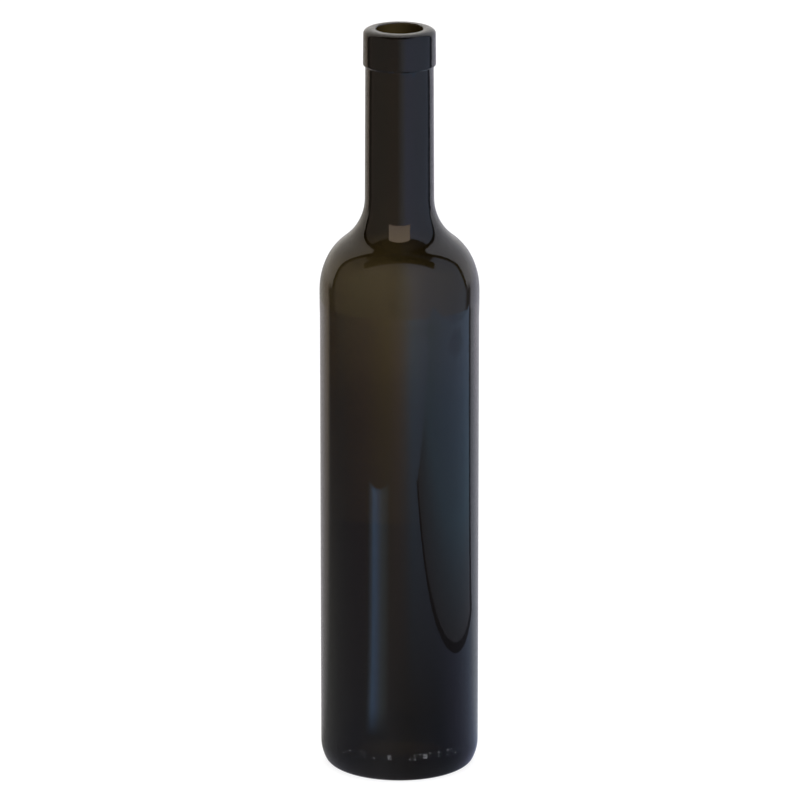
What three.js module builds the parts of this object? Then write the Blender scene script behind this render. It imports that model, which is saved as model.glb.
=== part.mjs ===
// Bordeaux wine bottle, half a litre, empty and uncorked: one piece of moulded glass.
// Millimetres, +Z up. The bottle stands on its bearing ring, with the origin at the centre of the foot.

import * as THREE from 'three';

// Outside of the body
const HEIGHT = 299;
const BODY_RADIUS = 31.25;
const BAND_RADIUS = 31.35; // slightly proud band, where bottles touch each other in a row
const BAND_BOTTOM = 188;
const BAND_FADE = 4; // height over which the body swells out to the band
const SHOULDER_START = 194.35;

// Heel: a wide arc below the body, then a tight one into the flat bearing ring
const HEEL_WIDE_RADIUS = 16.4;
const HEEL_TIGHT_RADIUS = 3.4;
const HEEL_TURN = 26.3; // degrees turned by the wide arc
const BEARING_WIDTH = 2.2;

// Punt: the hollow pushed up under the base
const PUNT_HEIGHT = 15;

// Shoulder: two convex arcs, a short straight cone, then the concave sweep into the neck
const SHOULDER_LOW_RADIUS = 28.2;
const SHOULDER_LOW_TURN = 25.3;
const SHOULDER_HIGH_RADIUS = 22.25;
const SHOULDER_SLOPE = 50.9; // degrees from upright where the convex part ends
const SWEEP_RADIUS = 20.75;

// Neck and the collar round the mouth
const NECK_BASE_RADIUS = 13.55;
const NECK_TOP_RADIUS = 13.32;
const COLLAR_HEIGHT = 14.6;
const COLLAR_BASE_RADIUS = 14.22;
const COLLAR_TOP_RADIUS = 14.1;
const COLLAR_CORNER = 0.65; // rounding of the collar's lower edge
const COLLAR_FILLET = 0.35; // where its underside meets the neck
const UNDERSIDE_TILT = 10; // degrees that the underside slopes, so that it leaves the mould
const LIP_WIDTH = 3.05; // the lip is a quarter ellipse, wider than it is high
const LIP_DROP = 2.0;

// Bore for the cork
const BORE_RADIUS = 9.2;
const BORE_EDGE = 0.5;

// Glass thickness square to the outside, at heights above the foot. The parison stretches most at the
// shoulder, so the wall is thinnest there and thickens towards the heel and the neck.
const WALL = [
  { height: 14, thickness: 4.0 },
  { height: 70, thickness: 3.6 },
  { height: 140, thickness: 3.2 },
  { height: 173, thickness: 2.5 },
  { height: 205, thickness: 2.1 },
  { height: 218, thickness: 3.3 },
  { height: 238, thickness: 4.0 },
  { height: HEIGHT - COLLAR_HEIGHT, thickness: 4.0 },
];

// Inside of the base
const FLOOR_TROUGH_RADIUS = 21.5; // lowest circle of the floor, round the foot of the punt
const FLOOR_TROUGH_HEIGHT = 5.4;
const FLOOR_CROWN_HEIGHT = 20.2; // top of the floor, over the punt
const INNER_HEEL_TOP = 15;

const SEGMENTS = 48; // sides of every circle
const CHORD_ERROR = 0.05; // the most that a straight side may cut inside its true arc
const DOME_STEPS = 7;

const toRadians = THREE.MathUtils.degToRad;

/** Points (radius, height) of an elliptical arc, ends included. Angles are measured up from outwards. */
function arc(centreRadius, centreHeight, across, up, fromDegrees, toDegrees) {
  const widest = 2 * Math.acos(1 - CHORD_ERROR / Math.max(across, up));
  const steps = Math.ceil(toRadians(Math.abs(toDegrees - fromDegrees)) / widest);
  const points = [];
  for (let step = 0; step <= steps; step += 1) {
    const angle = toRadians(THREE.MathUtils.lerp(fromDegrees, toDegrees, step / steps));
    points.push(new THREE.Vector2(
      centreRadius + across * Math.cos(angle),
      centreHeight + up * Math.sin(angle),
    ));
  }
  return points;
}

/** Points of a bell-shaped dome from its crown on the axis out to its rim, both ends included. */
function dome(crownHeight, rimRadius, rimHeight) {
  const points = [];
  for (let step = 0; step <= DOME_STEPS; step += 1) {
    const share = step / DOME_STEPS;
    const fall = (1 + Math.cos(Math.PI * share)) / 2;
    points.push(new THREE.Vector2(rimRadius * share, rimHeight + (crownHeight - rimHeight) * fall));
  }
  return points;
}

/** Under side of the base: the punt, the flat bearing ring and the two arcs of the heel. */
function baseOutside() {
  const turn = toRadians(HEEL_TURN);
  const spread = HEEL_WIDE_RADIUS - HEEL_TIGHT_RADIUS;
  const heelHeight = spread * Math.sin(turn) + HEEL_TIGHT_RADIUS;
  const wideCentre = BODY_RADIUS - HEEL_WIDE_RADIUS;
  const tightCentre = wideCentre + spread * Math.cos(turn);
  const puntRim = tightCentre - BEARING_WIDTH;
  return [
    ...dome(PUNT_HEIGHT, puntRim, 0),
    ...arc(tightCentre, HEEL_TIGHT_RADIUS, HEEL_TIGHT_RADIUS, HEEL_TIGHT_RADIUS, -90, -HEEL_TURN),
    ...arc(wideCentre, heelHeight, HEEL_WIDE_RADIUS, HEEL_WIDE_RADIUS, -HEEL_TURN, 0).slice(1),
  ];
}

/** Body wall from above the heel to the start of the shoulder, with its proud band. */
function bodyOutside() {
  return [
    new THREE.Vector2(BODY_RADIUS, BAND_BOTTOM - BAND_FADE),
    new THREE.Vector2(BAND_RADIUS, BAND_BOTTOM),
  ];
}

/** Shoulder from the body's band up to the foot of the neck. */
function shoulderOutside() {
  const lowTurn = toRadians(SHOULDER_LOW_TURN);
  const slope = toRadians(SHOULDER_SLOPE);
  const lowCentre = BAND_RADIUS - SHOULDER_LOW_RADIUS;
  const shift = SHOULDER_LOW_RADIUS - SHOULDER_HIGH_RADIUS;
  const highCentreRadius = lowCentre + shift * Math.cos(lowTurn);
  const highCentreHeight = SHOULDER_START + shift * Math.sin(lowTurn);
  const convexEndRadius = highCentreRadius + SHOULDER_HIGH_RADIUS * Math.cos(slope);
  const convexEndHeight = highCentreHeight + SHOULDER_HIGH_RADIUS * Math.sin(slope);
  // The cone is as long as brings the sweep out at the neck's own radius.
  const sweepWidth = SWEEP_RADIUS * (1 - Math.cos(slope));
  const coneLength = (convexEndRadius - NECK_BASE_RADIUS - sweepWidth) / Math.sin(slope);
  const sweepStartHeight = convexEndHeight + coneLength * Math.cos(slope);
  const neckBase = sweepStartHeight + SWEEP_RADIUS * Math.sin(slope);
  const sweepCentre = NECK_BASE_RADIUS + SWEEP_RADIUS;
  return [
    ...arc(lowCentre, SHOULDER_START, SHOULDER_LOW_RADIUS, SHOULDER_LOW_RADIUS, 0, SHOULDER_LOW_TURN),
    ...arc(highCentreRadius, highCentreHeight, SHOULDER_HIGH_RADIUS, SHOULDER_HIGH_RADIUS,
      SHOULDER_LOW_TURN, SHOULDER_SLOPE).slice(1),
    ...arc(sweepCentre, neckBase, SWEEP_RADIUS, SWEEP_RADIUS, 180 + SHOULDER_SLOPE, 180),
  ];
}

/** Neck's top, the collar with its filleted underside, and the rounded lip in to the top face. */
function mouthOutside() {
  const underside = HEIGHT - COLLAR_HEIGHT;
  return [
    ...arc(NECK_TOP_RADIUS + COLLAR_FILLET, underside - COLLAR_FILLET,
      COLLAR_FILLET, COLLAR_FILLET, 180, 90 + UNDERSIDE_TILT),
    ...arc(COLLAR_BASE_RADIUS - COLLAR_CORNER, underside + COLLAR_CORNER,
      COLLAR_CORNER, COLLAR_CORNER, UNDERSIDE_TILT - 90, 0),
    ...arc(COLLAR_TOP_RADIUS - LIP_WIDTH, HEIGHT - LIP_DROP, LIP_WIDTH, LIP_DROP, 0, 90),
    ...arc(BORE_RADIUS + BORE_EDGE, HEIGHT - BORE_EDGE, BORE_EDGE, BORE_EDGE, 90, 180),
  ];
}

/** Glass thickness at a height, easing from one named height to the next. */
function wallThickness(height) {
  const above = WALL.findIndex((station) => station.height > height);
  if (above === 0) {
    return WALL[0].thickness;
  }
  if (above < 0) {
    return WALL[WALL.length - 1].thickness;
  }
  const low = WALL[above - 1];
  const high = WALL[above];
  const share = THREE.MathUtils.smoothstep(height, low.height, high.height);
  return THREE.MathUtils.lerp(low.thickness, high.thickness, share);
}

/** The outside line moved into the glass by the wall thickness, square to the surface at each point. */
function insideOf(outside) {
  const inside = [];
  for (let index = 0; index < outside.length; index += 1) {
    const point = outside[index];
    const before = outside[Math.max(index - 1, 0)];
    const after = outside[Math.min(index + 1, outside.length - 1)];
    const along = after.clone().sub(before).normalize();
    const depth = wallThickness(point.y);
    inside.push(new THREE.Vector2(point.x - along.y * depth, point.y + along.x * depth));
  }
  return inside;
}

/** Inside of the heel and the floor over the punt, from the wall down and in to the axis. */
function baseInside() {
  const wallRadius = BODY_RADIUS - wallThickness(INNER_HEEL_TOP);
  const rise = INNER_HEEL_TOP - FLOOR_TROUGH_HEIGHT;
  const across = wallRadius - FLOOR_TROUGH_RADIUS;
  return [
    ...arc(FLOOR_TROUGH_RADIUS, INNER_HEEL_TOP, across, rise, 0, -90),
    ...dome(FLOOR_CROWN_HEIGHT, FLOOR_TROUGH_RADIUS, FLOOR_TROUGH_HEIGHT).reverse().slice(1),
  ];
}

/** The whole section through the glass, from the punt's crown round the outside and back inside. */
function glassSection() {
  const upperOutside = [...bodyOutside(), ...shoulderOutside()];
  const neckTop = new THREE.Vector2(NECK_TOP_RADIUS, HEIGHT - COLLAR_HEIGHT - COLLAR_FILLET);
  const wallLine = [
    ...WALL.slice(1, 4).map((station) => new THREE.Vector2(BODY_RADIUS, station.height)),
    ...upperOutside,
    neckTop,
  ];
  return [
    ...baseOutside(),
    ...upperOutside,
    ...mouthOutside(),
    ...insideOf(wallLine).reverse(),
    ...baseInside(),
  ];
}

/** The bottle: its section turned once round the upright axis. */
function bottle() {
  const geometry = new THREE.LatheGeometry(glassSection(), SEGMENTS);
  geometry.rotateX(Math.PI / 2);
  const glass = new THREE.MeshStandardMaterial({
    name: 'dark olive glass',
    color: '#1f1d14',
    roughness: 0.06,
    metalness: 0,
  });
  const mesh = new THREE.Mesh(geometry, glass);
  mesh.name = 'bottle';
  return mesh;
}

const wineBottle = new THREE.Group();
wineBottle.add(bottle());

export default wineBottle;
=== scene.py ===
import math

import bmesh
import bpy
from mathutils import Matrix, Vector, noise


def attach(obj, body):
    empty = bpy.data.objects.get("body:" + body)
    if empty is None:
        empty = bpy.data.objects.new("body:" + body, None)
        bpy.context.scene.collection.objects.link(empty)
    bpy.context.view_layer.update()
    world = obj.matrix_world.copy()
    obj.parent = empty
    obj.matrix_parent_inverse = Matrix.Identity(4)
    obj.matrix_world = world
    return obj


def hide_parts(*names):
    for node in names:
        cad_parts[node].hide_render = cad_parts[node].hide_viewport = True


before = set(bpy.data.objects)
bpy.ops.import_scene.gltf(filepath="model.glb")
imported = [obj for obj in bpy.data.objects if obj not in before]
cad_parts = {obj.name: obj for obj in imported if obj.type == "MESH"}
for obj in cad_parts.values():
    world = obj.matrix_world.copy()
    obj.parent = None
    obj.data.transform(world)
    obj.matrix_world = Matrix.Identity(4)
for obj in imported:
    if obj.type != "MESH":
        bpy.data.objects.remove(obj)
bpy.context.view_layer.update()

# Bottle glass, one piece. A gob of soda-lime glass is pressed to a parison and blown in a two-part mould,
# so the outside is the mould's smooth turned form, and the inside is slightly uneven. The section is drawn
# as one closed line in the XZ plane, outside first, and turned once round the bottle's axis.
MM = 0.001
HEIGHT = 299 * MM
BODY_RADIUS = 31.25 * MM
BAND_RADIUS = 31.35 * MM
BAND_BOTTOM = 188 * MM
BAND_FADE = 4 * MM
SHOULDER_START = 194.35 * MM
HEEL_WIDE_RADIUS = 16.4 * MM
HEEL_TIGHT_RADIUS = 3.4 * MM
HEEL_TURN = 26.3
BEARING_WIDTH = 2.2 * MM
PUNT_HEIGHT = 15 * MM
SHOULDER_LOW_RADIUS = 28.2 * MM
SHOULDER_LOW_TURN = 25.3
SHOULDER_HIGH_RADIUS = 22.25 * MM
SHOULDER_SLOPE = 50.9
SWEEP_RADIUS = 20.75 * MM
NECK_BASE_RADIUS = 13.55 * MM
NECK_TOP_RADIUS = 13.32 * MM
COLLAR_HEIGHT = 14.6 * MM
COLLAR_BASE_RADIUS = 14.22 * MM
COLLAR_TOP_RADIUS = 14.1 * MM
COLLAR_CORNER = 0.65 * MM
COLLAR_FILLET = 0.35 * MM
UNDERSIDE_TILT = 10
LIP_WIDTH = 3.05 * MM
LIP_DROP = 2.0 * MM
BORE_RADIUS = 9.2 * MM
BORE_EDGE = 0.5 * MM
WALL_MM = ((14, 4.0), (70, 3.6), (140, 3.2), (173, 2.5), (205, 2.1), (218, 3.3), (238, 4.0), (284.4, 4.0))
FLOOR_TROUGH_RADIUS = 21.5 * MM
FLOOR_TROUGH_HEIGHT = 5.4 * MM
FLOOR_CROWN_HEIGHT = 20.2 * MM
INNER_HEEL_TOP = 15 * MM
TURN_STEPS = 256
PUNT_STEPS = 16
FLOOR_STEPS = 12
ARC_STEPS = 8
SWEEP_STEPS = 16
LIP_STEPS = 10
EDGE_STEPS = 5
JOIN_DISTANCE = 0.002 * MM


def swept(shell, tip, centre_radius, centre_height, degrees, steps):
    """Draws an arc on from the line's tip, anticlockwise for positive degrees. Returns the new points."""
    known = set(shell.verts)
    bmesh.ops.spin(
        shell, geom=[tip], cent=(centre_radius, 0, centre_height), axis=(0, -1, 0),
        angle=math.radians(degrees), steps=steps, use_duplicate=False)
    return [vert for vert in shell.verts if vert not in known]


def straight(shell, tip, radius, height, steps=1):
    """Draws a straight line on from the line's tip in equal steps, and returns the new points."""
    start = tip.co.copy()
    end = Vector((radius, 0, height))
    points = []
    for step in range(1, steps + 1):
        tip = bmesh.ops.extrude_vert_indiv(shell, verts=[tip])["verts"][0]
        tip.co = start.lerp(end, step / steps)
        points.append(tip)
    return points


def bell(share):
    """Height of a bell-shaped dome, 1 at its crown and 0 at its rim, at a share of the way out."""
    return (1 + math.cos(math.pi * share)) / 2


def wall_thickness(height):
    """Glass thickness at a height, easing from one named height to the next."""
    level = height / MM
    for (low, thin), (high, thick) in zip(WALL_MM, WALL_MM[1:]):
        if level < high:
            share = max(level - low, 0) / (high - low)
            return (thin + (thick - thin) * share * share * (3 - 2 * share)) * MM
    return WALL_MM[-1][1] * MM


shell = bmesh.new()
inside_mark = shell.verts.layers.float.new("inside")

# Under the base: the punt, the flat bearing ring, and the two arcs of the heel.
turn = math.radians(HEEL_TURN)
heel_spread = HEEL_WIDE_RADIUS - HEEL_TIGHT_RADIUS
heel_height = heel_spread * math.sin(turn) + HEEL_TIGHT_RADIUS
wide_centre = BODY_RADIUS - HEEL_WIDE_RADIUS
tight_centre = wide_centre + heel_spread * math.cos(turn)
punt_rim = tight_centre - BEARING_WIDTH
line = [shell.verts.new((0, 0, PUNT_HEIGHT))]
for step in range(1, PUNT_STEPS + 1):
    height = PUNT_HEIGHT * bell(step / PUNT_STEPS)
    line += straight(shell, line[-1], punt_rim * step / PUNT_STEPS, height)
line += straight(shell, line[-1], tight_centre, 0)
line += swept(shell, line[-1], tight_centre, HEEL_TIGHT_RADIUS, 90 - HEEL_TURN, ARC_STEPS)
line += swept(shell, line[-1], wide_centre, heel_height, HEEL_TURN, ARC_STEPS)

# Body, its proud band and the shoulder, up to the foot of the neck. The wall has closer steps up to the top
# of the heel's mould marks.
MARKS_TOP = 14 * MM
MARKED_STEPS = 5
BODY_STEPS = 28
low_turn = math.radians(SHOULDER_LOW_TURN)
slope = math.radians(SHOULDER_SLOPE)
low_centre = BAND_RADIUS - SHOULDER_LOW_RADIUS
shift = SHOULDER_LOW_RADIUS - SHOULDER_HIGH_RADIUS
high_centre = (low_centre + shift * math.cos(low_turn), SHOULDER_START + shift * math.sin(low_turn))
cone_start = (high_centre[0] + SHOULDER_HIGH_RADIUS * math.cos(slope),
              high_centre[1] + SHOULDER_HIGH_RADIUS * math.sin(slope))
sweep_width = SWEEP_RADIUS * (1 - math.cos(slope))
cone_length = (cone_start[0] - NECK_BASE_RADIUS - sweep_width) / math.sin(slope)
cone_end = (cone_start[0] - cone_length * math.sin(slope), cone_start[1] + cone_length * math.cos(slope))
neck_base = cone_end[1] + SWEEP_RADIUS * math.sin(slope)
sweep_centre = NECK_BASE_RADIUS + SWEEP_RADIUS
wall_from = len(line)
line += straight(shell, line[-1], BODY_RADIUS, MARKS_TOP, MARKED_STEPS)
line += straight(shell, line[-1], BODY_RADIUS, BAND_BOTTOM - BAND_FADE, BODY_STEPS)
line += straight(shell, line[-1], BAND_RADIUS, BAND_BOTTOM, 2)
line += straight(shell, line[-1], BAND_RADIUS, SHOULDER_START)
line += swept(shell, line[-1], low_centre, SHOULDER_START, SHOULDER_LOW_TURN, ARC_STEPS)
line += swept(shell, line[-1], *high_centre, SHOULDER_SLOPE - SHOULDER_LOW_TURN, ARC_STEPS)
line += straight(shell, line[-1], *cone_end)
line += swept(shell, line[-1], sweep_centre, neck_base, -SHOULDER_SLOPE, SWEEP_STEPS)

# Neck, the collar with its filleted underside, and the lip.
NECK_STEPS = 8
COLLAR_STEPS = 3
FILLET_STEPS = 4
underside = HEIGHT - COLLAR_HEIGHT
neck_top = underside - COLLAR_FILLET
collar_turn = math.radians(90 - UNDERSIDE_TILT)
collar_centre = COLLAR_BASE_RADIUS - COLLAR_CORNER
line += straight(shell, line[-1], NECK_TOP_RADIUS, neck_top, NECK_STEPS)
wall_to = len(line)
line += swept(shell, line[-1], NECK_TOP_RADIUS + COLLAR_FILLET, neck_top, UNDERSIDE_TILT - 90, FILLET_STEPS)
line += straight(shell, line[-1], collar_centre + COLLAR_CORNER * math.cos(collar_turn),
                 underside + COLLAR_CORNER - COLLAR_CORNER * math.sin(collar_turn))
line += swept(shell, line[-1], collar_centre, underside + COLLAR_CORNER, 90 - UNDERSIDE_TILT, EDGE_STEPS)
line += straight(shell, line[-1], COLLAR_TOP_RADIUS, HEIGHT - LIP_DROP, COLLAR_STEPS)
lip = swept(shell, line[-1], COLLAR_TOP_RADIUS - LIP_WIDTH, HEIGHT - LIP_DROP, 90, LIP_STEPS)
bmesh.ops.scale(shell, verts=lip, vec=(1, 1, LIP_DROP / LIP_WIDTH),
                space=Matrix.Translation((0, 0, LIP_DROP - HEIGHT)))
line += lip
line += straight(shell, line[-1], BORE_RADIUS + BORE_EDGE, HEIGHT)
line += swept(shell, line[-1], BORE_RADIUS + BORE_EDGE, HEIGHT - BORE_EDGE, 90, EDGE_STEPS)

# Inside wall: the outside line from the neck down to the heel, moved in by the wall's thickness.
outside = line[wall_from - 1:wall_to]
inside = []
for index, point in enumerate(outside):
    before = outside[max(index - 1, 0)].co
    after = outside[min(index + 1, len(outside) - 1)].co
    along_wall = (after - before).normalized()
    depth = wall_thickness(point.co.z)
    inside.append((point.co.x - along_wall.z * depth, point.co.z + along_wall.x * depth))
inside = [place for place in inside if place[1] > INNER_HEEL_TOP]
for radius, height in reversed(inside):
    line += straight(shell, line[-1], radius, height)
for point in line[-len(inside):]:
    point[inside_mark] = 1

# Inside of the heel, and the floor over the punt.
inner_wall = BODY_RADIUS - wall_thickness(INNER_HEEL_TOP)
inner_across = inner_wall - FLOOR_TROUGH_RADIUS
line += straight(shell, line[-1], inner_wall, INNER_HEEL_TOP)
inner_heel = swept(shell, line[-1], FLOOR_TROUGH_RADIUS, INNER_HEEL_TOP, -90, LIP_STEPS)
bmesh.ops.scale(shell, verts=inner_heel, vec=(1, 1, (INNER_HEEL_TOP - FLOOR_TROUGH_HEIGHT) / inner_across),
                space=Matrix.Translation((0, 0, -INNER_HEEL_TOP)))
line += inner_heel
floor_rise = FLOOR_CROWN_HEIGHT - FLOOR_TROUGH_HEIGHT
for step in range(FLOOR_STEPS - 1, -1, -1):
    height = FLOOR_TROUGH_HEIGHT + floor_rise * bell(step / FLOOR_STEPS)
    line += straight(shell, line[-1], FLOOR_TROUGH_RADIUS * step / FLOOR_STEPS, height)

bmesh.ops.spin(
    shell, geom=shell.verts[:] + shell.edges[:], cent=(0, 0, 0), axis=(0, 0, 1),
    angle=math.tau, steps=TURN_STEPS, use_merge=True, use_duplicate=False)
bmesh.ops.remove_doubles(shell, verts=shell.verts[:], dist=JOIN_DISTANCE)
bmesh.ops.recalc_face_normals(shell, faces=shell.faces[:])

# Blowing leaves the inside slightly uneven, in long upright waves that fade out towards the bore and
# the base.
WAVE_DEPTH = 0.18 * MM
WAVE_ACROSS = 20 * MM
WAVE_ALONG = 60 * MM
WAVE_FADE = 20 * MM
for vert in shell.verts:
    if vert[inside_mark] > 0.5:
        hold = min(1, (vert.co.z - INNER_HEEL_TOP) / WAVE_FADE, (underside - vert.co.z) / WAVE_FADE)
        place = Vector((vert.co.x / WAVE_ACROSS, vert.co.y / WAVE_ACROSS, vert.co.z / WAVE_ALONG))
        outward = Vector((vert.co.x, vert.co.y, 0)).normalized()
        vert.co += outward * WAVE_DEPTH * max(hold, 0) * noise.noise(place)

# Mould code round the front of the heel: low rounded dots and short bars, cut into the mould as hollows.
# The heel's own faces are divided finely there, laid back on its true curve, and raised at each mark.
MOULD_CODE = "|:.|-.|: .|:-  |.:|-|.: :|.-|"
MARK_PITCH = 2.05 * MM
MARK_MIDDLE = 10.7 * MM
MARK_REACH = 1.1 * MM
MARK_STROKE = 0.45 * MM
MARK_FLANK = 0.26 * MM
MARK_RELIEF = 0.2 * MM
MARK_CUTS = 6
MARKS_BOTTOM = 8.0 * MM
MARKS_SPREAD = math.radians(58)
MARKS_FRINGE = math.radians(1.5)
OUTSIDE_FROM = inner_wall + 2 * MM
CODE_PARTS = {
    "|": ((0, 0, 0, 1),), ".": ((0, -0.9, 0, 0),), ":": ((0, -0.9, 0, 0), (0, 0.9, 0, 0)),
    "-": ((0, -0.5, 0.6, 0), (0, 0.5, 0.6, 0)), " ": ()}


def heel_radius(height):
    """Outside radius of the wide arc of the heel, and of the body above it."""
    drop = max(heel_height - height, 0)
    return wide_centre + math.sqrt(HEEL_WIDE_RADIUS ** 2 - drop ** 2)


def mark_height(across, up, marks):
    """How far the glass is raised at a place on the heel, 0 between marks and 1 on top of one."""
    best = 0
    for middle, level, half_width, half_height in marks:
        beside = max(abs(across - middle) - half_width, 0)
        above = max(abs(up - level) - half_height, 0)
        best = max(best, (MARK_STROKE - math.hypot(beside, above)) / MARK_FLANK)
    best = min(best, 1)
    return best * best * (3 - 2 * best)


marks = []
for number, sign in enumerate(MOULD_CODE):
    middle = (number - (len(MOULD_CODE) - 1) / 2) * MARK_PITCH
    for across, up, half_width, half_height in CODE_PARTS[sign]:
        marks.append((middle + across * MARK_REACH, MARK_MIDDLE + up * MARK_REACH,
                      half_width * MARK_REACH, half_height * MARK_REACH))

marked_faces = []
for face in shell.faces:
    centre = face.calc_center_median()
    outside_heel = math.hypot(centre.x, centre.y) > OUTSIDE_FROM
    beside = abs(math.atan2(centre.x, -centre.y))
    if outside_heel and MARKS_BOTTOM < centre.z < MARKS_TOP and beside < MARKS_SPREAD:
        marked_faces.append(face)
marked_edges = {edge for face in marked_faces for edge in face.edges}
bmesh.ops.subdivide_edges(shell, edges=list(marked_edges), cuts=MARK_CUTS, use_grid_fill=True)
for vert in shell.verts:
    radius = math.hypot(vert.co.x, vert.co.y)
    azimuth = math.atan2(vert.co.x, -vert.co.y)
    on_heel = radius > OUTSIDE_FROM and MARKS_BOTTOM - MM < vert.co.z < MARKS_TOP + 0.01 * MM
    if on_heel and abs(azimuth) < MARKS_SPREAD + MARKS_FRINGE:
        true_radius = heel_radius(vert.co.z)
        relief = min(MARK_RELIEF, BAND_RADIUS - true_radius)
        raised = true_radius + relief * mark_height(azimuth * BODY_RADIUS, vert.co.z, marks)
        vert.co.x = raised * math.sin(azimuth)
        vert.co.y = -raised * math.cos(azimuth)
bmesh.ops.recalc_face_normals(shell, faces=shell.faces[:])
for face in shell.faces:
    face.smooth = True
mesh = bpy.data.meshes.new("bottle_glass")
shell.to_mesh(mesh)
shell.free()
bottle = bpy.data.objects.new("bottle_glass", mesh)
bpy.context.scene.collection.objects.link(bottle)


def to_linear(hex_colour):
    """An sRGB hex colour as the linear red, green, blue and alpha that a shader takes."""
    parts = [int(hex_colour[i:i + 2], 16) / 255 for i in (1, 3, 5)]
    return [p / 12.92 if p <= 0.04045 else ((p + 0.055) / 1.055) ** 2.4 for p in parts] + [1.0]


def add_node(tree, kind, settings=None, links=None):
    """Adds a node: settings are its properties and input values by name, links its inputs' sources."""
    node = tree.nodes.new(kind)
    for name, value in (settings or {}).items():
        if isinstance(name, str) and hasattr(node, name):
            setattr(node, name, value)
        else:
            node.inputs[name].default_value = value
    for name, source in (links or {}).items():
        tree.links.new(source, node.inputs[name])
    return node


def coordinate(tree, vector, axis):
    """One coordinate of a vector, X, Y or Z, as a socket."""
    return add_node(tree, "ShaderNodeSeparateXYZ", None, {"Vector": vector}).outputs[axis]


def blended(tree, value, start, end, low=0.0, high=1.0):
    """A number that goes evenly from low to high as a value goes from start to end, and no further."""
    node = add_node(tree, "ShaderNodeMapRange",
                    {"From Min": start, "From Max": end, "To Min": low, "To Max": high}, {"Value": value})
    return node.outputs["Result"]


# Soda-lime bottle glass, mould-blown and fire-polished: a hard clear gloss over a colour so deep that only
# the thin shoulder lets olive light through. The colour is all in the depth of the glass, none on its
# surface. Its gloss is very slightly wavy, and a hair-fine parting line of the mould runs up each side.
RIPPLE_ACROSS = 14 * MM
RIPPLE_DEPTH = 0.02 * MM
SEAM_FOOT = 0.32 * MM
SEAM_CREST = 0.08 * MM
SEAM_HEIGHT = 0.03 * MM
glass = bpy.data.materials.new("dark_olive_bottle_glass")
glass.use_nodes = True
tree = glass.node_tree
tree.nodes.clear()
place = add_node(tree, "ShaderNodeTexCoord").outputs["Object"]
waves = add_node(tree, "ShaderNodeTexNoise", {"Scale": 1 / RIPPLE_ACROSS, "Detail": 1.0, "Roughness": 0.4},
                 {"Vector": place})
ripple = add_node(tree, "ShaderNodeBump", {"Strength": 0.25, "Distance": RIPPLE_DEPTH},
                  {"Height": waves.outputs["Fac"]})
off_seam = add_node(tree, "ShaderNodeMath", {"operation": "ABSOLUTE"}, {0: coordinate(tree, place, "Y")})
seam = blended(tree, off_seam.outputs["Value"], SEAM_FOOT, SEAM_CREST)
parting = add_node(tree, "ShaderNodeBump", {"Strength": 0.6, "Distance": SEAM_HEIGHT},
                   {"Height": seam, "Normal": ripple.outputs["Normal"]})
surface = add_node(tree, "ShaderNodeBsdfPrincipled",
                   {"Base Color": (1, 1, 1, 1), "Roughness": 0.01, "IOR": 1.52, "Transmission Weight": 1.0},
                   {"Normal": parting.outputs["Normal"]})
depth_colour = add_node(tree, "ShaderNodeVolumeAbsorption",
                        {"Color": to_linear("#a69a6e"), "Density": 1100.0})
add_node(tree, "ShaderNodeOutputMaterial", None,
         {"Surface": surface.outputs["BSDF"], "Volume": depth_colour.outputs["Volume"]})
mesh.materials.append(glass)
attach(bottle, "root")
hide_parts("bottle")


def stage_piece(name, shape, material, hidden_from):
    """Makes a shape into an object of the stage, hidden from the kinds of ray that are named."""
    piece_mesh = bpy.data.meshes.new(name)
    shape.to_mesh(piece_mesh)
    shape.free()
    piece_mesh.materials.append(material)
    piece = bpy.data.objects.new(name, piece_mesh)
    bpy.context.scene.collection.objects.link(piece)
    for ray in hidden_from:
        setattr(piece, "visible_" + ray, False)


# The table: a wide pale matt sheet that runs far past the picture, softly lit from below so that it stays
# as bright as the photo's white ground under the bottle too. It isn't part of the bottle.
TABLE_REACH = 6.0
TABLE_GLOW = 0.86
table_shape = bmesh.new()
bmesh.ops.create_grid(table_shape, x_segments=1, y_segments=1, size=TABLE_REACH)
paper = bpy.data.materials.new("pale_matt_paper")
paper.use_nodes = True
sheet = paper.node_tree.nodes["Principled BSDF"]
sheet.inputs["Base Color"].default_value = to_linear("#808080")
sheet.inputs["Roughness"].default_value = 0.9
sheet.inputs["Emission Color"].default_value = to_linear("#fafafa")
sheet.inputs["Emission Strength"].default_value = TABLE_GLOW
stage_piece("table", table_shape, paper, ("glossy", "transmission"))


def glow_material(name, strength):
    """A material that only glows, returned with its emission node."""
    glow = bpy.data.materials.new(name)
    glow.use_nodes = True
    tree = glow.node_tree
    tree.nodes.clear()
    emission = add_node(tree, "ShaderNodeEmission", {"Strength": strength})
    add_node(tree, "ShaderNodeOutputMaterial", None, {"Surface": emission.outputs["Emission"]})
    return glow, emission


# A pale round wall just inside the table's far edge, so that a level view has plain ground too. Only the
# camera sees it, so it throws no light on the bottle and shows in no gloss.
WALL_REACH = TABLE_REACH * 0.98
WALL_HEIGHT = 8.0
wall_shape = bmesh.new()
bmesh.ops.create_cone(wall_shape, cap_ends=False, segments=96, radius1=WALL_REACH, radius2=WALL_REACH,
                      depth=WALL_HEIGHT)
pale_paint = glow_material("pale_lit_wall", 1.0)[0]
stage_piece("pale_wall", wall_shape, pale_paint, ("diffuse", "glossy", "transmission", "shadow"))

# Room light, which the glass shows by its gloss: a dim warm wall in front, a cool one on the right, bright
# paper behind, and a dark ceiling. Colours go by compass direction, in degrees from the front to the right.
# They are linear light, and a ramp holds them as shares of the brightest that it can show.
BRIGHTEST = 2.0
BLACK = (0, 0, 0, 1)


def of_brightest(colour):
    """A linear light colour as the share of the brightest that a ramp or a glow takes."""
    return (*(part / BRIGHTEST for part in colour), 1)


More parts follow.
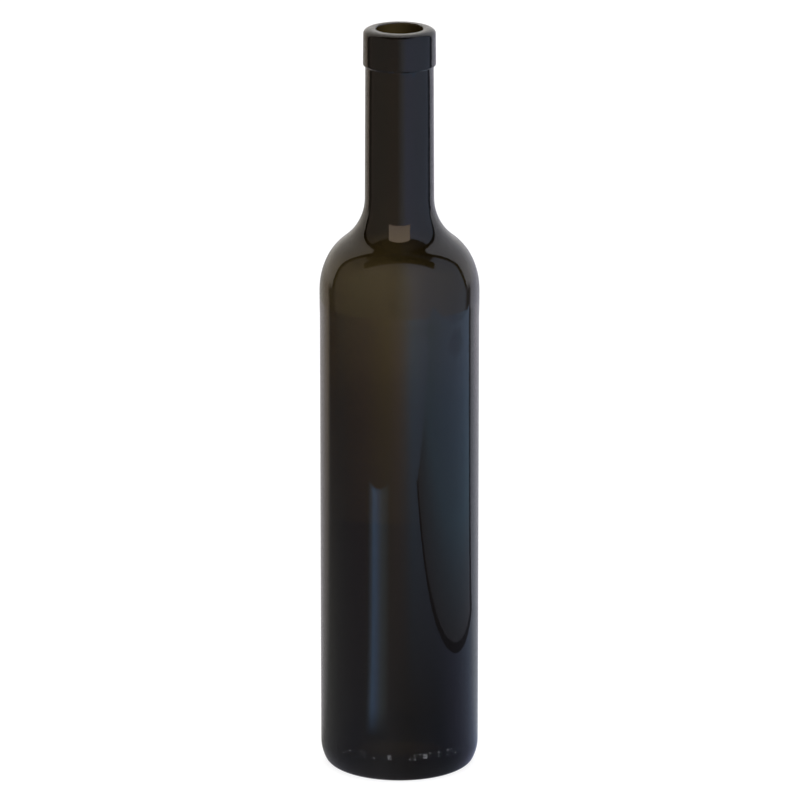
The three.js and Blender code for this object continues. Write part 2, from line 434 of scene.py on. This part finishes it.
def ramp_colour(tree, share, stops):
    """Colour at a share of the way along stops, which are pairs of a place from 0 to 1 and a colour."""
    ramp = add_node(tree, "ShaderNodeValToRGB", None, {"Fac": share})
    elements = ramp.color_ramp.elements
    for number, (position, colour) in enumerate(stops):
        element = elements[number] if number < 2 else elements.new(position)
        element.position = position
        element.color = of_brightest(colour)
    return ramp.outputs["Color"]


def calculated(tree, operation, first, second):
    """The result of a maths node on two numbers, each one a socket or a plain number."""
    node = add_node(tree, "ShaderNodeMath", {"operation": operation})
    for number, value in enumerate((first, second)):
        if isinstance(value, float):
            node.inputs[number].default_value = value
        else:
            tree.links.new(value, node.inputs[number])
    return node.outputs["Value"]


def colours_round(tree, vector, stops):
    """Colour by the compass direction of a vector, easing from stop to stop."""
    front = calculated(tree, "MULTIPLY", coordinate(tree, vector, "Y"), -1.0)
    azimuth = calculated(tree, "ARCTAN2", coordinate(tree, vector, "X"), front)
    share = blended(tree, azimuth, -math.pi, math.pi)
    return ramp_colour(tree, share, [((degrees + 180) / 360, colour) for degrees, colour in stops])


def mixed(tree, share, first, second):
    """Mix of two colours by a share, the first one a socket or a plain colour."""
    node = add_node(tree, "ShaderNodeMix", {"data_type": "RGBA"}, {0: share, 7: second})
    if isinstance(first, tuple):
        node.inputs[6].default_value = first
    else:
        tree.links.new(first, node.inputs[6])
    return node.outputs[2]


world = bpy.data.worlds.new("studio")
world.use_nodes = True
bpy.context.scene.world = world
tree = world.node_tree
tree.nodes.clear()
direction = add_node(tree, "ShaderNodeTexCoord").outputs["Generated"]
low_light = colours_round(tree, direction, (
    (-180, (0.4, 0.4, 0.42)), (-150, (0.6, 0.56, 0.5)), (-126, (0.6, 0.5, 0.4)), (-119, (0.1, 0.08, 0.06)),
    (-110, (0.12, 0.1, 0.08)), (-104, (0.28, 0.23, 0.19)), (-60, (0.34, 0.3, 0.25)),
    (-8, (0.36, 0.3, 0.26)), (4, (0.48, 0.46, 0.46)), (14, (0.57, 0.58, 0.66)), (22, (0.58, 0.62, 0.84)),
    (60, (0.54, 0.6, 0.78)), (108, (0.4, 0.46, 0.6)), (114, (0.1, 0.1, 0.13)), (121, (0.1, 0.1, 0.13)),
    (126, (0.75, 0.75, 0.87)), (150, (0.7, 0.7, 0.8)), (180, (0.4, 0.4, 0.42))))
back_light = colours_round(tree, direction, (
    (-180, (1.0, 0.97, 0.92)), (-150, (0.8, 0.74, 0.66)), (-90, (0.7, 0.6, 0.5)), (90, (0.8, 0.8, 0.88)),
    (150, (0.8, 0.8, 0.85)), (180, (1.0, 0.97, 0.92))))

# Above the horizon, dark upright gaps at both sides part the front from the bright paper behind. The paper
# leans forward higher up, and the ceiling in front is dark.
level = coordinate(tree, direction, "Z")
sideways = add_node(tree, "ShaderNodeMath", {"operation": "ABSOLUTE"}, {0: coordinate(tree, direction, "X")})
lean = blended(tree, level, 0.45, 1.0, 0.43, 0.2)
limit = calculated(tree, "MULTIPLY", sideways.outputs["Value"], lean)
behind = calculated(tree, "SUBTRACT", coordinate(tree, direction, "Y"), limit)
on_paper = blended(tree, behind, 0.0, 0.015)
in_front = blended(tree, behind, -0.08, -0.1, 0.08, 1.0)
ceiling = blended(tree, level, 0.79, 0.825, 1.0, 0.08)
room = mixed(tree, calculated(tree, "MULTIPLY", in_front, ceiling), BLACK, low_light)
high_light = mixed(tree, on_paper, room, back_light)
around = mixed(tree, blended(tree, level, -0.12, 0.0), low_light, high_light)
background = add_node(tree, "ShaderNodeBackground", {"Strength": BRIGHTEST}, {"Color": around})
add_node(tree, "ShaderNodeOutputWorld", None, {"Surface": background.outputs["Background"]})


# What lies round the bottle, as its gloss shows it: a desk top that is dark close by and brighter further
# off. The camera sees only the white ground, so this and the flat pieces on it are for the gloss alone.
DESK_REACH = 700
DESK_LEVEL = -0.6
DESK_SIDES = 48


def light_sheet(name, corners, hidden_from=("transmission",)):
    """A flat glowing piece of the stage, its corners in millimetres, that only one kind of ray sees."""
    shape = bmesh.new()
    shape.faces.new([shape.verts.new(Vector(corner) * MM) for corner in corners])
    glow, emission = glow_material(name + "_glow", BRIGHTEST)
    stage_piece(name, shape, glow, ("camera", "diffuse", "shadow", *hidden_from))
    return glow.node_tree, emission


turns = [math.tau * number / DESK_SIDES for number in range(DESK_SIDES)]
tree, emission = light_sheet("desk_light", [
    (DESK_REACH * math.cos(angle), DESK_REACH * math.sin(angle), DESK_LEVEL) for angle in turns])
place = add_node(tree, "ShaderNodeTexCoord").outputs["Object"]
near_light = colours_round(tree, place, (
    (-180, (0.5, 0.5, 0.52)), (-150, (0.56, 0.54, 0.56)), (-130, (0.47, 0.46, 0.46)),
    (-113, (0.28, 0.28, 0.27)), (-55, (0.26, 0.26, 0.3)), (-16, (0.33, 0.32, 0.34)), (8, (0.24, 0.23, 0.24)),
    (50, (0.2, 0.22, 0.28)), (80, (0.27, 0.29, 0.42)), (112, (0.36, 0.42, 0.58)), (130, (0.5, 0.55, 0.65)),
    (180, (0.5, 0.5, 0.52))))
far_light = colours_round(tree, place, (
    (-180, (0.5, 0.5, 0.52)), (-142, (0.72, 0.66, 0.64)), (-125, (0.62, 0.52, 0.42)),
    (-117, (0.1, 0.08, 0.08)), (-108, (0.13, 0.1, 0.1)), (-90, (0.17, 0.16, 0.18)), (-50, (0.26, 0.2, 0.24)),
    (-17, (0.4, 0.32, 0.24)), (-2, (0.56, 0.45, 0.44)), (8, (0.55, 0.57, 0.68)), (18, (0.5, 0.74, 1.08)),
    (50, (0.56, 0.7, 1.05)), (80, (0.43, 0.57, 0.88)), (112, (0.38, 0.55, 0.78)), (116, (0.13, 0.13, 0.16)),
    (121, (0.13, 0.13, 0.16)), (126, (0.65, 0.68, 0.78)), (140, (0.84, 0.82, 0.93)),
    (180, (0.5, 0.5, 0.52))))
distance = add_node(tree, "ShaderNodeVectorMath", {"operation": "LENGTH"}, {0: place}).outputs["Value"]
away = blended(tree, distance, 120 * MM, 680 * MM)
tree.links.new(mixed(tree, away, near_light, far_light), emission.inputs["Color"])

# A pale cool sheet lying on the desk to the right, dim at its near edge, with a dark line of painted shade
# along that edge.
SHEET_LEVEL = -0.4
EDGE_LEVEL = -0.3
SHEET_NEAR = 192
tree, emission = light_sheet("cool_sheet", (
    (SHEET_NEAR, -402, SHEET_LEVEL), (620, -560, SHEET_LEVEL), (640, 342, SHEET_LEVEL),
    (SHEET_NEAR, 104, SHEET_LEVEL)))
place = add_node(tree, "ShaderNodeTexCoord").outputs["Object"]
inward = blended(tree, coordinate(tree, place, "X"), SHEET_NEAR * MM, 600 * MM)
sheet_colour = ramp_colour(tree, inward, (
    (0.0, (0.29, 0.3, 0.36)), (0.2, (0.34, 0.42, 0.54)), (0.4, (0.4, 0.59, 0.8)), (1.0, (0.48, 0.66, 0.98))))
tree.links.new(sheet_colour, emission.inputs["Color"])
# Painted shade: a dim strip along the sheet's near edge that stands for the shadow there.
tree, emission = light_sheet("painted_edge_shade", (
    (178, -402, EDGE_LEVEL), (SHEET_NEAR, -402, EDGE_LEVEL), (SHEET_NEAR, 104, EDGE_LEVEL),
    (640, 342, EDGE_LEVEL), (630, 366, EDGE_LEVEL), (178, 126, EDGE_LEVEL)))
emission.inputs["Color"].default_value = of_brightest((0.12, 0.12, 0.15))

# The window's reflection on the desk in front to the left: a bright cool wedge that widens away from the
# bottle, and fades out into the dark desk at its near end.
STREAK_LEVEL = -0.2
tree, emission = light_sheet("window_streak", (
    (-59.5, -62, STREAK_LEVEL), (-22.3, -83, STREAK_LEVEL), (-114, -425, STREAK_LEVEL),
    (-306, -317, STREAK_LEVEL)))
place = add_node(tree, "ShaderNodeTexCoord").outputs["Object"]
streak = colours_round(tree, place, (
    (-180, (0.3, 0.3, 0.3)), (-44, (0.27, 0.27, 0.3)), (-40, (0.5, 0.6, 0.78)), (-36, (0.64, 0.98, 1.55)),
    (-31, (0.6, 0.82, 1.25)), (-25, (0.56, 0.64, 0.72)), (-15, (0.4, 0.4, 0.4)), (180, (0.3, 0.3, 0.3))))
distance = add_node(tree, "ShaderNodeVectorMath", {"operation": "LENGTH"}, {0: place}).outputs["Value"]
fade = blended(tree, distance, 86 * MM, 122 * MM)
faded_streak = mixed(tree, fade, of_brightest((0.27, 0.27, 0.3)), streak)
tree.links.new(faded_streak, emission.inputs["Color"])


# Three cards that count on their under side only: a small warm one over the front of the shoulder, a black
# one below it that keeps it off the shoulder's round part, and a wide pale one low over the table, whose
# light only the raised marks on the heel catch.
WARM_CARD_LEVEL = 250
FLAG_LEVEL = 228
LOW_CARD_LEVEL = 55


def lit_below(tree, emission, colour):
    """Lets a light sheet glow downwards only, and be clear from above."""
    emission.inputs["Color"].default_value = of_brightest(colour)
    facing = add_node(tree, "ShaderNodeNewGeometry")
    clear = add_node(tree, "ShaderNodeBsdfTransparent")
    one_side = add_node(tree, "ShaderNodeMixShader", None, {
        0: facing.outputs["Backfacing"], 1: emission.outputs["Emission"], 2: clear.outputs["BSDF"]})
    tree.links.new(one_side.outputs["Shader"], tree.nodes["Material Output"].inputs["Surface"])


tree, emission = light_sheet("warm_card", (
    (-16, -33, WARM_CARD_LEVEL), (16, -33, WARM_CARD_LEVEL), (37, -63, WARM_CARD_LEVEL),
    (-37, -63, WARM_CARD_LEVEL)))
lit_below(tree, emission, (1.9, 1.5, 1.15))
tree, emission = light_sheet("low_card", (
    (-400, -45, LOW_CARD_LEVEL), (400, -45, LOW_CARD_LEVEL), (400, -500, LOW_CARD_LEVEL),
    (-400, -500, LOW_CARD_LEVEL)))
lit_below(tree, emission, (7.0, 7.2, 7.8))

# The black card's far part glows with painted room light instead, the room's own colours, so that it still
# hides the warm card from the shoulder's round part, and doesn't itself show there as dark.
tree, emission = light_sheet("dark_flag", (
    (-29, -24.5, FLAG_LEVEL), (29, -24.5, FLAG_LEVEL), (46, -46, FLAG_LEVEL), (-46, -46, FLAG_LEVEL)))
lit_below(tree, emission, (0.0, 0.0, 0.0))
place = add_node(tree, "ShaderNodeTexCoord").outputs["Object"]
past_shoulder = blended(tree, coordinate(tree, place, "Y"), -31.5 * MM, -33.5 * MM)
room_above = colours_round(tree, place, (
    (-180, (0.36, 0.3, 0.26)), (-5, (0.42, 0.36, 0.31)), (3, (0.48, 0.46, 0.46)), (9, (0.57, 0.58, 0.66)),
    (15, (0.58, 0.62, 0.8)), (180, (0.58, 0.62, 0.8))))
tree.links.new(mixed(tree, past_shoulder, BLACK, room_above), emission.inputs["Color"])

# The light behind the bottle, which only shows through its thin shoulder: full on the left, less on the
# right, as the photo's shoulder shows it.
BACK_LIGHT_PLACE = 120
tree, emission = light_sheet("back_light", (
    (-300, BACK_LIGHT_PLACE, 60), (300, BACK_LIGHT_PLACE, 60), (300, BACK_LIGHT_PLACE, 400),
    (-300, BACK_LIGHT_PLACE, 400)), hidden_from=("glossy",))
place = add_node(tree, "ShaderNodeTexCoord").outputs["Object"]
across = blended(tree, coordinate(tree, place, "X"), -8 * MM, 14 * MM, 1.0, 0.42)
tree.links.new(across, emission.inputs["Strength"])

# Soft box overhead, which lights the table only.
overhead_data = bpy.data.lights.new("overhead_softbox", "AREA")
overhead_data.shape = "SQUARE"
overhead_data.size = 3.0
overhead_data.energy = 60
overhead = bpy.data.objects.new("overhead_softbox", overhead_data)
bpy.context.scene.collection.objects.link(overhead)
overhead.location = (0, 0.6, 2.4)
overhead.visible_glossy = False
overhead.visible_camera = False

# Camera at the photograph's viewing angle: a long lens a little above the bottle's mouth, looking down.
CAMERA_DISTANCE = 2.613
CAMERA_HEIGHT = 0.9123
CAMERA_PITCH = 16.285
FOCAL_PIXELS = 6920
PICTURE_WIDTH = 800
AXIS_COLUMN = 399.49
camera_data = bpy.data.cameras.new("camera")
camera_data.sensor_width = 36
camera_data.lens = FOCAL_PIXELS / PICTURE_WIDTH * camera_data.sensor_width
camera_data.shift_x = (PICTURE_WIDTH / 2 - AXIS_COLUMN) / PICTURE_WIDTH
camera_data.clip_start = 0.1
camera_data.clip_end = 30
camera = bpy.data.objects.new("camera", camera_data)
bpy.context.scene.collection.objects.link(camera)
camera.location = (0, -CAMERA_DISTANCE, CAMERA_HEIGHT)
camera.rotation_euler = (math.radians(90 - CAMERA_PITCH), 0, 0)
bpy.context.scene.camera = camera
bpy.context.scene.view_settings.view_transform = "Standard"
